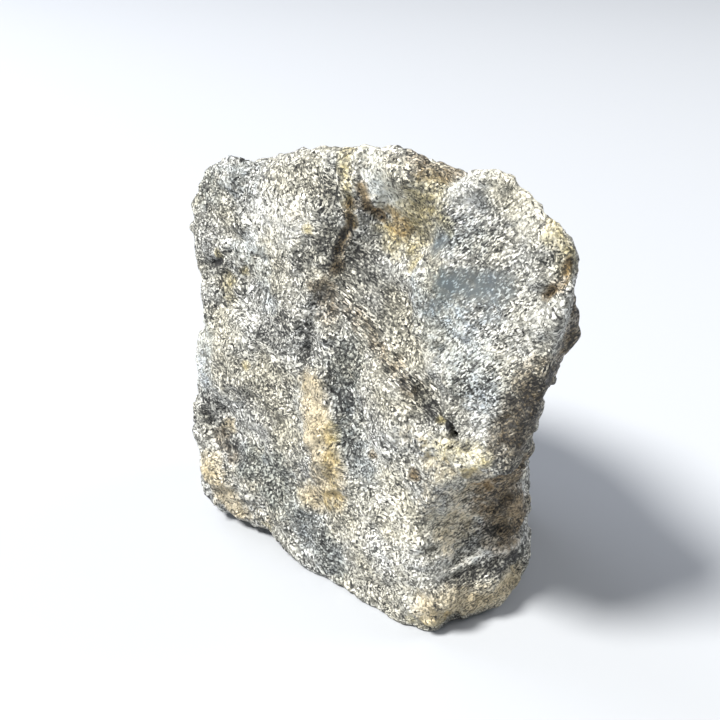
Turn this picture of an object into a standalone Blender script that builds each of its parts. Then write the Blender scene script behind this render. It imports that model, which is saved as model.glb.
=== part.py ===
"""Rough labradorite: one broken lump of feldspar rock, about 96 mm tall, standing on a small flat spot.

The stone is made the way it came to be. A block is split along its main fracture planes, bites are
broken out of it, and then the humps, hollows, scarps and creases of each face are raised or sunk.
Last, the foot is cut flat and the small pits are cut in.

The frame: X runs to the right along the broad face, the broad face looks towards -Y, +Z is up, and
the origin is at the middle of the stone's footprint, on the surface that it stands on.
Places below are (x, y, z) in millimetres. A facing is (azimuth, rise) in degrees: azimuth 0 faces -Y,
90 faces +X, 180 faces +Y, and rise is above the horizon.
"""

import math
from dataclasses import dataclass

import bmesh
import bpy
import numpy as np
from mathutils import Matrix, Vector, noise

MM = 0.001

# The stone's size over all, in millimetres
WIDTH = 92.0
DEPTH = 57.0
HEIGHT = 96.0
BLOCK_MARGIN = 30.0

# How finely it is worked, in millimetres
VOXEL = 1.1
CORNER_ROUNDING_PASSES = 3
CHIP_ROUNDING_PASSES = 2
TARGET_TRIANGLES = 8200
FOOT_CUT_DEPTH = 12.0
SHARP_OVER = 38.0

# The broken surface between the named forms, in millimetres: the size of each kind of unevenness and its height
BROAD_WAVES = (17.0, 1.2)
SMALL_LUMPS = (6.0, 0.5)

# Chips: their size in millimetres, and how far each tilts as a rise over its run
LARGE_CHIPS = (14.0, 0.07)
SMALL_CHIPS = (6.0, 0.08)

# The finish of the plain solid
STONE_COLOUR = (0.46, 0.45, 0.40, 1.0)
STONE_ROUGHNESS = 0.62


@dataclass(frozen=True)
class Fracture:
    """A plane that the block split along: everything outside it fell away."""

    name: str
    at: tuple
    facing: tuple


@dataclass(frozen=True)
class Bite:
    """A hollow that a knock broke out, as an ellipsoid with its half sizes and its turn about X, Y and Z."""

    name: str
    at: tuple
    half_sizes: tuple
    turn: tuple = (0.0, 0.0, 0.0)


@dataclass(frozen=True)
class Swell:
    """A hump, or a hollow where high is negative. Along stretches it in a direction, by the factor stretch."""

    name: str
    at: tuple
    across: float
    high: float
    along: tuple = (0.0, 0.0, 1.0)
    stretch: float = 1.0


@dataclass(frozen=True)
class Crease:
    """A groove along a path, or a rib where deep is negative."""

    name: str
    path: tuple
    wide: float
    deep: float


@dataclass(frozen=True)
class Scarp:
    """A step along a path: seen from outside, the ground on its left stands higher, less so over reach."""

    name: str
    path: tuple
    facing: tuple
    high: float
    wide: float
    reach: float


@dataclass(frozen=True)
class Planed:
    """A cleavage face: the surface within across of a point is drawn towards one plane."""

    name: str
    at: tuple
    facing: tuple
    across: float
    share: float


FRACTURES = (
    Fracture("broad face", (5, -26.3, 10), (-5, 4)),
    Fracture("right facet", (24, -24.5, 60), (-5, 9)),
    Fracture("right brow", (25, -21.5, 88), (8, 30)),
    Fracture("left hump face", (-20, -24.0, 74), (-10, 13)),
    Fracture("left lower face", (-30, -25.5, 25), (-12, -3)),
    Fracture("left edge", (-44, -25.5, 30), (-48, -2)),
    Fracture("left top corner", (-42, -20, 86), (-62, 40)),
    Fracture("left side", (-48, 0, 40), (-93, 2)),
    Fracture("left back", (-38, 19, 45), (-138, 7)),
    Fracture("back", (-4, 25, 40), (179, 3)),
    Fracture("back upper", (-12, 23.5, 58), (163, 19)),
    Fracture("left back low", (-38, 17, 14), (-126, -24)),
    Fracture("back low", (8, 25.5, 12), (188, -14)),
    Fracture("right back", (29.4, 1.3, 10), (134, 4.3)),
    Fracture("right side", (38, -21, 68), (98, -10)),
    Fracture("right side, upper", (36.5, -21, 59.5), (98, -8)),
    Fracture("right flank", (20, -26, 0), (66, -14)),
    Fracture("left foot", (-45.8, -25.1, 5.6), (-50, -40)),
    Fracture("left sole", (-31.7, -25, 1.5), (-45, -84)),
    Fracture("rear sole", (0, 13, 0), (176, -82)),
    Fracture("sole", (0, 0, -1.0), (0, -90)),
    Fracture("top left slope", (-20, -18, 91.5), (-120, 71)),
    Fracture("top back slope", (2, -20, 95.5), (184, 68)),
    Fracture("top rear slope", (-5, 9, 84.5), (176, 47)),
    Fracture("top right slope", (33, -18, 91.3), (96, 57)),
    Fracture("top right back slope", (33.9, -16.4, 87.9), (146.5, 34.5)),
    Fracture("back top left", (-28, 14, 80), (-150, 46)),
)

BITES = (
    Bite("lower right bite", (30.5, -34, 24), (17, 34, 20), (0, 0, -25)),
    Bite("back bite", (-30, 38, 58), (26, 18, 24), (0, 10, 0)),
    Bite("saddle in the top", (12.5, -14, 102), (8, 17, 11), (0, 0, -20)),
)

SWELLS = (
    Swell("middle valley", (-2, -22, 68), 18, -3.8, (-0.1, 0, 1), 1.7),
    Swell("top centre lobe", (2.5, -20, 94), 10, 3.6),
    Swell("ochre hollow", (8, -21, 82), 9, -2.6),
    Swell("left hump", (-20, -22, 78), 18, 1.8),
    Swell("left hump's foot", (-33, -22, 60), 13, -1.6),
    Swell("left upper lobe", (-45, -17, 73), 13, 2.6),
    Swell("left edge lobe", (-40, -22, 42), 14, 2.4),
    Swell("left lower hollow", (-38, -24, 25), 11, -1.8),
    Swell("left lower edge", (-49, -19, 26), 9, 1.6),
    Swell("left foot lobe", (-42, -20, 12), 10, 2.6),
    Swell("lower middle bulge", (8, -25, 47), 13, 3.2, (0.4, 0, -1), 1.3),
    Swell("dark trough", (-4.5, -24, 42), 9, -2.6, (0.2, 0, -1), 2.0),
    Swell("tan rib", (-10.7, -24, 35), 8, 2.0, (0.3, 0, -1), 2.0),
    Swell("facet foot", (25, -24, 52), 8, -1.0),
    Swell("right waist", (30, -3, 35), 15, -3.6),
    Swell("hollow low on the right back", (26, 2, 26), 8, -1.4),
    Swell("right side hollow", (34, -10, 53), 13, -2.4),
    Swell("front foot bulge", (9, -26, 12), 16, 1.2),
    Swell("middle foot", (2, -26, 2), 11, 0.2),
    Swell("notch in the lower edge", (-27, -25, 3), 6, -0.8),
    Swell("dip in the top edge", (-30.5, -16, 89), 7, -2.6, (0, 1, 0), 1.8),
    Swell("left peak", (-39, -16, 87), 8, 3.2),
    Swell("right peak", (24.5, -19, 96), 9, 1.2),
    Swell("crest", (-8, -13, 93), 12, 1.3),
    Swell("dip behind the saddle", (9, -1, 88), 8, -1.8),
    Swell("right shoulder", (40, -22, 85), 7, -0.8),
    Swell("notch in the right edge", (40, -15, 77), 7, -1.8),
    Swell("ledge nose", (26, -25, 45), 7, 2.6),
    Swell("flank trough", (20, -15, 13), 8, -1.4, (0.4, 0.9, 0.25), 1.8),
    Swell("flank foot", (28, -6, 7), 12, 4.0, (0.1, 1, 0.1), 1.6),
    Swell("flank heel", (28, 0, 5), 9, 3.0),
    Swell("back hump", (-6, 26, 62), 18, 3.0),
    Swell("back hollow", (2, 25, 30), 15, -2.8),
    Swell("back left hump", (-28, 24, 26), 15, 3.2),
    Swell("rear top lump", (-6, 3, 87), 14, 2.4, (1, 0.3, 0), 1.4),
    Swell("left side hollow", (-48, 4, 55), 15, -2.6),
    Swell("left side hump", (-48, 6, 26), 14, 1.8),
    Swell("right back hollow", (16, 12, 52), 18, -3.2),
)

CREASES = (
    Crease("crease by the left hump", ((-4, -18, 94), (-5, -20, 86), (-6.5, -20, 78), (-9, -20, 73)), 3.2, 2.4),
    Crease("crease down the valley", ((-9, -20, 73), (-12, -20, 67), (-14, -21, 60), (-16.5, -22, 51)), 3.0, 1.8),
    Crease("cleft to the cavity", ((11, -22, 60), (14, -22.5, 54), (19, -23.5, 46.5), (24, -24, 45.5)), 2.8, 2.4),
    Crease("slit at the right edge", ((40, -19, 85), (36.5, -21.5, 80), (34, -22.5, 75)), 2.2, 0.9),
    Crease("flank rib", ((16, -24, 9), (21, -10, 14), (24, 2, 17)), 2.4, -1.6),
    Crease("flank groove", ((16, -24, 4), (22, -10, 9), (25, 2, 12)), 3.0, 1.2),
)

SCARPS = (
    Scarp(
        "left edge of the right facet",
        ((19.4, -23, 46), (14.2, -22.5, 54), (10.7, -22.5, 60), (7.5, -22.5, 66.5), (8, -22, 77)),
        (0, 5), -2.6, 1.8, 14,
    ),
    Scarp("top edge of the right facet", ((8, -22, 77), (17, -22, 82), (31, -22, 82)), (0, 10), -1.2, 1.6, 12),
    Scarp("right bank of the hump", ((-4, -20, 93), (-6.5, -20, 78), (-12, -20, 67)), (0, 10), -1.6, 2.0, 12),
    Scarp(
        "ledge under the right facet",
        ((36, -21, 51), (32.7, -22.5, 48.7), (27.8, -23.5, 47), (22, -24, 46), (17, -24, 46.5)),
        (5, 5), 1.8, 1.5, 8,
    ),
)

PLANES = (
    Planed("right facet", (24, -24, 62), (-5, 9), 17, 0.85),
    Planed("right brow", (26, -21, 88), (6, 26), 8, 0.6),
)

PITS = (
    Bite("cavity in the cleft", (20.8, -22.5, 46.6), (1.5, 4.0, 2.4), (0, 50, 0)),
    Bite("slot at the left edge", (-37.5, -24.5, 66.5), (3.2, 2.6, 1.0), (0, 15, -14)),
)


def direction(facing):
    """The unit vector of a facing."""
    azimuth, rise = (math.radians(angle) for angle in facing)
    return np.array(
        (math.sin(azimuth) * math.cos(rise), -math.cos(azimuth) * math.cos(rise), math.sin(rise))
    )


def clear_scene():
    """Removes the objects that Blender starts with."""
    for obj in list(bpy.data.objects):
        bpy.data.objects.remove(obj)


def new_collection(name):
    """A collection in the scene."""
    collection = bpy.data.collections.new(name)
    bpy.context.scene.collection.children.link(collection)
    return collection


def new_object(name, mesh, collection):
    """An object that holds a mesh, in a collection."""
    obj = bpy.data.objects.new(name, mesh)
    collection.objects.link(obj)
    return obj


def split_block(collection):
    """The block after it split: a cube cut by every fracture plane."""
    bm = bmesh.new()
    bmesh.ops.create_cube(bm, size=1.0)
    sides = [(side + 2 * BLOCK_MARGIN) * MM for side in (WIDTH, DEPTH, HEIGHT)]
    bmesh.ops.scale(bm, verts=bm.verts, vec=sides)
    bmesh.ops.translate(bm, verts=bm.verts, vec=(0, 0, HEIGHT / 2 * MM))
    for fracture in FRACTURES:
        cut = bmesh.ops.bisect_plane(
            bm,
            geom=bm.verts[:] + bm.edges[:] + bm.faces[:],
            plane_co=Vector(fracture.at) * MM,
            plane_no=Vector(direction(fracture.facing)),
            clear_outer=True,
        )
        edges = [item for item in cut["geom_cut"] if isinstance(item, bmesh.types.BMEdge)]
        bmesh.ops.contextual_create(bm, geom=edges)
    bmesh.ops.recalc_face_normals(bm, faces=bm.faces)
    mesh = bpy.data.meshes.new("block")
    bm.to_mesh(mesh)
    bm.free()
    return new_object("block", mesh, collection)


def cutter(name, at, half_sizes, turn, collection, segments=32):
    """An ellipsoid that cuts, hidden from renders."""
    bm = bmesh.new()
    bmesh.ops.create_uvsphere(bm, u_segments=segments, v_segments=segments // 2, radius=1.0)
    place = (
        Matrix.Translation(Vector(at) * MM)
        @ Matrix.Rotation(math.radians(turn[2]), 4, "Z")
        @ Matrix.Rotation(math.radians(turn[1]), 4, "Y")
        @ Matrix.Rotation(math.radians(turn[0]), 4, "X")
        @ Matrix.Diagonal((*[half * MM for half in half_sizes], 1.0))
    )
    bmesh.ops.transform(bm, matrix=place, verts=bm.verts)
    mesh = bpy.data.meshes.new(name)
    bm.to_mesh(mesh)
    bm.free()
    obj = new_object(name, mesh, collection)
    obj.hide_render = True
    obj.display_type = "WIRE"
    return obj


def cut(obj, tool):
    """A Boolean that takes a tool's shape out of an object."""
    boolean = obj.modifiers.new(tool.name, "BOOLEAN")
    boolean.operation = "DIFFERENCE"
    boolean.object = tool
    boolean.solver = "EXACT"


def applied(obj):
    """The object's mesh with its modifiers applied, and the modifiers removed."""
    graph = bpy.context.evaluated_depsgraph_get()
    mesh = bpy.data.meshes.new_from_object(obj.evaluated_get(graph))
    obj.modifiers.clear()
    obj.data = mesh
    return mesh


def weather(obj):
    """Turns the split block into one even mesh with its corners worn round."""
    remesh = obj.modifiers.new("even mesh", "REMESH")
    remesh.mode = "VOXEL"
    remesh.voxel_size = VOXEL * MM
    applied(obj)
    smoothed(obj, CORNER_ROUNDING_PASSES)


def points_and_normals(mesh):
    """Vertex places in millimetres, and vertex normals."""
    places = np.empty(len(mesh.vertices) * 3)
    normals = np.empty(len(mesh.vertices) * 3)
    mesh.vertices.foreach_get("co", places)
    mesh.vertex_normals.foreach_get("vector", normals)
    return places.reshape(-1, 3) / MM, normals.reshape(-1, 3)


def set_points(mesh, places):
    """Moves the mesh's vertices to places in millimetres."""
    mesh.vertices.foreach_set("co", (places * MM).ravel())
    mesh.update()


def dome(share):
    """A smooth bump: 1 at share 0, and 0 with no slope from share 1 on."""
    return np.clip(1 - share**2, 0, 1) ** 2


def ramp(share):
    """A smooth rise from 0 at share -1 to 1 at share 1."""
    t = np.clip(share * 0.5 + 0.5, 0, 1)
    return t * t * (3 - 2 * t)


def swelled(places, normals, swell):
    """How far a hump or hollow moves each point."""
    offset = places - np.array(swell.at, float)
    axis = np.array(swell.along, float)
    axis /= np.linalg.norm(axis)
    run = offset @ axis
    offset = offset - np.outer(run * (1 - 1 / swell.stretch), axis)
    bump = swell.high * dome(np.linalg.norm(offset, axis=1) / swell.across)
    return normals * bump[:, None]


def nearest_on_path(places, path):
    """For each point: the vector from the nearest point of the path, and the path's direction there."""
    best = np.full(len(places), np.inf)
    apart = np.zeros_like(places)
    heading = np.zeros_like(places)
    corners = np.array(path, float)
    for start, end in zip(corners[:-1], corners[1:]):
        run = end - start
        share = np.clip((places - start) @ run / (run @ run), 0, 1)
        offset = places - (start + share[:, None] * run)
        distance = np.linalg.norm(offset, axis=1)
        closer = distance < best
        best[closer] = distance[closer]
        apart[closer] = offset[closer]
        heading[closer] = run / np.linalg.norm(run)
    return apart, heading


def creased(places, normals, crease):
    """How far a groove or rib moves each point."""
    apart, _ = nearest_on_path(places, crease.path)
    bump = -crease.deep * dome(np.linalg.norm(apart, axis=1) / crease.wide)
    return normals * bump[:, None]


def stepped(places, normals, scarp):
    """How far a scarp lifts each point on the left of its path."""
    apart, heading = nearest_on_path(places, scarp.path)
    outward = direction(scarp.facing)
    left = np.cross(outward, heading)
    side = np.einsum("ij,ij->i", apart, left)
    fade = dome(np.linalg.norm(apart, axis=1) / scarp.reach)
    faces_us = ramp((normals @ outward - 0.5) * 4)
    bump = scarp.high * ramp(side / scarp.wide) * fade * faces_us
    return normals * bump[:, None]


def planed(places, normals, plane):
    """How far each point moves towards a cleavage plane."""
    outward = direction(plane.facing)
    offset = places - np.array(plane.at, float)
    near = dome(np.linalg.norm(offset, axis=1) / plane.across) ** 0.5
    faces_us = ramp((normals @ outward - 0.5) * 4)
    return np.outer(-(offset @ outward) * near * faces_us * plane.share, outward)


def chipped(place, size, tilt):
    """The height of a surface that broke off in chips: flats of one size, each tilted its own way."""
    centre = noise.voronoi(place / size)[1][0]
    lean = (noise.cell_vector(centre * 53.7) - Vector((0.5, 0.5, 0.5))) * 2
    return tilt * (place - centre * size).dot(lean)


def roughness_at(place):
    """The height of the broken surface at a place in millimetres, over and above the stone's named forms."""
    wave, wave_height = BROAD_WAVES
    lump, lump_height = SMALL_LUMPS
    broad = noise.noise(place / wave + Vector((3.1, 7.7, 1.9)))
    lumps = noise.noise(place / lump + Vector((9.2, 0.4, 5.3)))
    chips = chipped(place, *LARGE_CHIPS) + chipped(place + Vector((40, 7, 90)), *SMALL_CHIPS)
    return wave_height * broad + lump_height * lumps + chips


def sculpt(mesh):
    """Raises and sinks the named forms of every face, then the roughness between them."""
    for shapes, move in ((SWELLS, swelled), (PLANES, planed), (SCARPS, stepped), (CREASES, creased)):
        places, normals = points_and_normals(mesh)
        total = np.zeros_like(places)
        for shape in shapes:
            total += move(places, normals, shape)
        set_points(mesh, places + total)
    places, normals = points_and_normals(mesh)
    heights = np.array([roughness_at(Vector(place)) for place in places])
    set_points(mesh, places + normals * heights[:, None])


def smoothed(obj, passes):
    """Wears an object's corners round, without moving its faces much."""
    smooth = obj.modifiers.new("worn", "SMOOTH")
    smooth.factor = 0.5
    smooth.iterations = passes
    applied(obj)


def thin_out(obj):
    """Leaves the triangles where the form turns, down to the target number."""
    obj.data.calc_loop_triangles()
    decimate = obj.modifiers.new("fewer triangles", "DECIMATE")
    decimate.ratio = TARGET_TRIANGLES / len(obj.data.loop_triangles)
    applied(obj)


def flatten_foot(obj, collection):
    """Cuts away all that is below the surface that the stone stands on."""
    bpy.ops.mesh.primitive_cube_add(size=1.0, location=(0, 0, -FOOT_CUT_DEPTH / 2 * MM))
    slab = bpy.context.object
    slab.name = "ground"
    slab.scale = (2 * WIDTH * MM, 2 * WIDTH * MM, FOOT_CUT_DEPTH * MM)
    for owner in list(slab.users_collection):
        owner.objects.unlink(slab)
    collection.objects.link(slab)
    slab.hide_render = True
    slab.display_type = "WIRE"
    cut(obj, slab)


def centre_on_footprint(obj):
    """Moves the stone over the origin, and gives how far it went."""
    places, _ = points_and_normals(obj.data)
    middle = (places.min(axis=0) + places.max(axis=0)) / 2
    shift = np.array((-middle[0], -middle[1], 0.0))
    set_points(obj.data, places + shift)
    return shift


def stone_material():
    """The plain finish of the solid: a dull grey with a little warmth."""
    material = bpy.data.materials.new("labradorite")
    material.use_nodes = True
    shader = material.node_tree.nodes["Principled BSDF"]
    shader.inputs["Base Color"].default_value = STONE_COLOUR
    shader.inputs["Roughness"].default_value = STONE_ROUGHNESS
    shader.inputs["Metallic"].default_value = 0.0
    material.diffuse_color = STONE_COLOUR
    return material


def build():
    """Makes the stone."""
    clear_scene()
    stones = new_collection("rough labradorite")
    cutters = new_collection("cutters")
    stone = split_block(stones)
    stone.name = "stone"
    for bite in BITES:
        cut(stone, cutter(bite.name, bite.at, bite.half_sizes, bite.turn, cutters))
    applied(stone)
    weather(stone)
    sculpt(stone.data)
    smoothed(stone, CHIP_ROUNDING_PASSES)
    thin_out(stone)
    for pit in PITS:
        cut(stone, cutter(pit.name, pit.at, pit.half_sizes, pit.turn, cutters, segments=12))
    flatten_foot(stone, cutters)
    applied(stone)
    stone.data.materials.clear()
    stone.data.materials.append(stone_material())
    stone.data.shade_smooth()
    stone.data.set_sharp_from_angle(angle=math.radians(SHARP_OVER))
    return centre_on_footprint(stone)


if __name__ == "__main__":
    build()
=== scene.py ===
"""The looks of a rough labradorite: one lump of coarse feldspar rock on a pale studio floor.

The stone keeps the forms of its solid. Over them come the relief that the rock broke with, down to
about a millimetre, and a rock finish of interlocked pale and dark flakes, with iron stains, charcoal
patches and one worn, slate-blue cleavage face. Some of the colour is painted light: white grains and
flakes stand partly for glints, pale patches on the up-facing lobes for highlights, and dark and
brown patches in the creases, the cavity and the slot, under the facet and the ledge and on the
right flank for shade.

All places are in the frame of the solid: +Z up, the broad face towards -Y. Places and sizes are in
millimetres unless a name says otherwise.
"""

import logging
import math
from dataclasses import dataclass, field
from enum import Enum
from typing import Any, Iterable, Sequence

import bpy
import numpy as np
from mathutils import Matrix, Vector, kdtree, noise


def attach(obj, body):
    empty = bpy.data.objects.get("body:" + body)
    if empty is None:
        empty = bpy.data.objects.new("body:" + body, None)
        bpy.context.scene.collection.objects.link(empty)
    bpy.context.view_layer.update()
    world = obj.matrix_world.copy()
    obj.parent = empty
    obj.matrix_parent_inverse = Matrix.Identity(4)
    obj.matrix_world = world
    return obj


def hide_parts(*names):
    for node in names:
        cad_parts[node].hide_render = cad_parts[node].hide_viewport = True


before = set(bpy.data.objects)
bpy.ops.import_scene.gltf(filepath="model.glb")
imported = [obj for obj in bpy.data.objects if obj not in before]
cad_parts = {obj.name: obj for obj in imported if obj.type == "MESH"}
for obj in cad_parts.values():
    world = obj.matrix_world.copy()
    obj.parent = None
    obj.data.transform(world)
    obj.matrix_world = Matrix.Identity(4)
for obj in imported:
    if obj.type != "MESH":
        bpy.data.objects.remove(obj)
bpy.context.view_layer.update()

LOG = logging.getLogger("rough_labradorite")
MM = 0.001
NOISE_SEED = 5  # without it the cracks stray to other places each time
NO_LENGTH = 1e-6  # a path's run of a smaller squared length counts as a point

Point = tuple[float, float, float]


class Mark(Enum):
    """What a patch of the surface is, and the name of the vertex attribute that holds how much of it is there."""

    # pale rock, and a painted highlight on the lobes that face the light
    PALE_AND_HIGHLIT = "pale"
    # charcoal rock, and painted shade where the dark patches lie in creases, hollows and undersides
    DARK = "dark"
    OCHRE = "ochre"
    TAN = "tan"
    # brown stain, and on the right facet's edge, the right edge strip and the flank also painted shade
    BROWN = "brown"
    COOL = "cool"
    SLATE = "slate"
    FOLIATED = "foliated"
    FIBROUS = "fibrous"
    LUMPY = "lumpy"


@dataclass(frozen=True)
class Patch:
    """A patch of one mark, along a path or round a point, that fades out at its reach.

    Args:
        name: What it is on the stone. It is not used.
        mark: What it adds.
        path: One place, or the corners of a line that it follows.
        reach: How far from the path it goes.
        amount: How strong it is in the middle.
    """

    name: str
    mark: Mark
    path: tuple[Point, ...]
    reach: float
    amount: float = 1.0


@dataclass(frozen=True)
class Crack:
    """A crack, or a sharp step's foot, as a groove along a path.

    Args:
        name: Which crack it is. It is not used.
        path: The corners of the line that it follows.
        wide: Half its width at the surface.
        deep: Its depth in the middle.
    """

    name: str
    path: tuple[Point, ...]
    wide: float
    deep: float


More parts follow.
